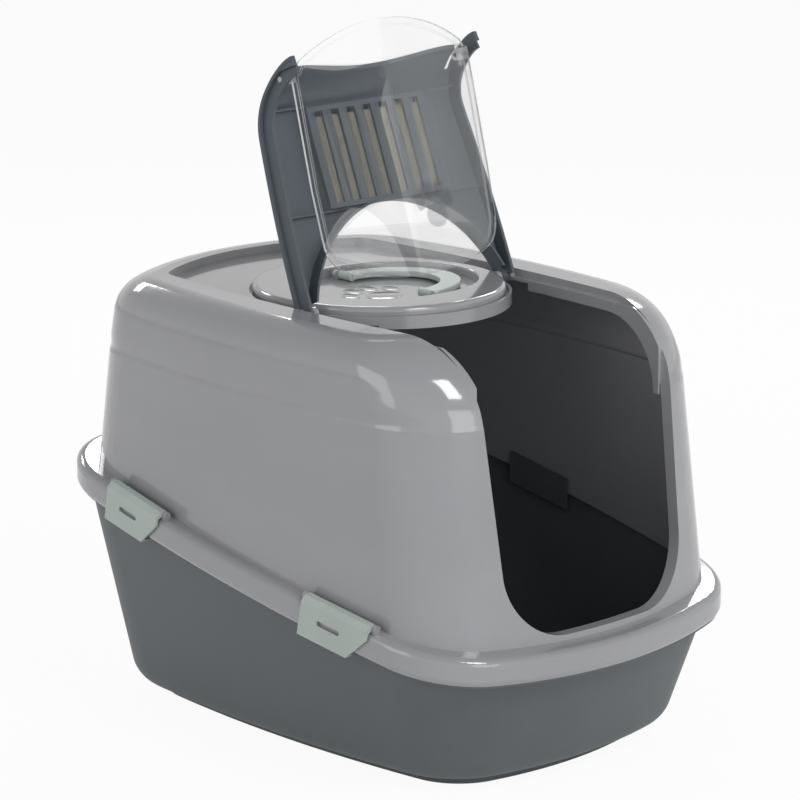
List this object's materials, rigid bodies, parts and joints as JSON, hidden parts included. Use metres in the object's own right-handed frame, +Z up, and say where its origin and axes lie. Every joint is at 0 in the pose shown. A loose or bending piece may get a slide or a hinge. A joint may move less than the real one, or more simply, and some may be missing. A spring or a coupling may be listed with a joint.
{
  "type": "hooded litter box",
  "caption": "Hooded cat litter box: open tray, clip-on hood with a carrying handle, and a hinged top cover that holds an odour filter and a clear swing door.",
  "frame": {"origin": "centre of the footprint's bounding box, on the floor, with the cover open", "axes": "+Z up; the entrance faces -Y; +X is to the right of someone who looks into the entrance"},
  "size_m": [0.396, 0.54, 0.6015],
  "materials": {
    "hood": "gloss",
    "tray": "satin",
    "cover": "satin",
    "trim": "satin",
    "clear": "gloss",
    "filter": "felt"
  },
  "bodies": {
    "shell": {"tray": "tray", "hood": "hood", "handle_plate": "hood"},
    "cover": {"top_cover": "cover", "filter_pad": "filter", "filter_cover": "cover"},
    "door": {"swing_door": "clear", "door_pins": "cover"},
    "handle": {"carry_handle": "trim"},
    "clip_front_left": {"clip_front_left": "trim"},
    "clip_front_right": {"clip_front_right": "trim"},
    "clip_rear_left": {"clip_rear_left": "trim"},
    "clip_rear_right": {"clip_rear_right": "trim"}
  },
  "joints": [
    {"name": "cover_hinge", "type": "hinge", "parent": "shell", "child": "cover", "pos_m": [0, -0.0127, 0.36831], "axis": [1, 0, 0], "range_deg": [0, 112.1]},
    {"name": "door_hinge", "type": "hinge", "parent": "cover", "child": "door", "pos_m": [0, 0.02808, 0.55881], "axis": [1, 0, 0], "range_deg": [-105.5, 0]},
    {"name": "carry_handle_hinge", "type": "hinge", "parent": "shell", "child": "handle", "pos_m": [0.008, 0.0205, 0.3713], "axis": [0, -1, 0], "range_deg": [0, 90]},
    {"name": "clip_front_left_hinge", "type": "hinge", "parent": "shell", "child": "clip_front_left", "pos_m": [-0.18544, -0.12959, 0.15278], "axis": [-0.081, 0.9799, 0.1823], "range_deg": [0, 75]},
    {"name": "clip_front_right_hinge", "type": "hinge", "parent": "shell", "child": "clip_front_right", "pos_m": [0.18544, -0.12959, 0.15278], "axis": [-0.081, -0.9799, -0.1823], "range_deg": [0, 75]},
    {"name": "clip_rear_left_hinge", "type": "hinge", "parent": "shell", "child": "clip_rear_left", "pos_m": [-0.18628, 0.11942, 0.19928], "axis": [0.081, 0.9799, 0.1823], "range_deg": [0, 75]},
    {"name": "clip_rear_right_hinge", "type": "hinge", "parent": "shell", "child": "clip_rear_right", "pos_m": [0.18628, 0.11942, 0.19928], "axis": [0.081, -0.9799, -0.1823], "range_deg": [0, 75]}
  ],
  "couplings": [
    {"joint": "door_hinge", "follows": "cover_hinge", "ratio": -0.9403}
  ]
}
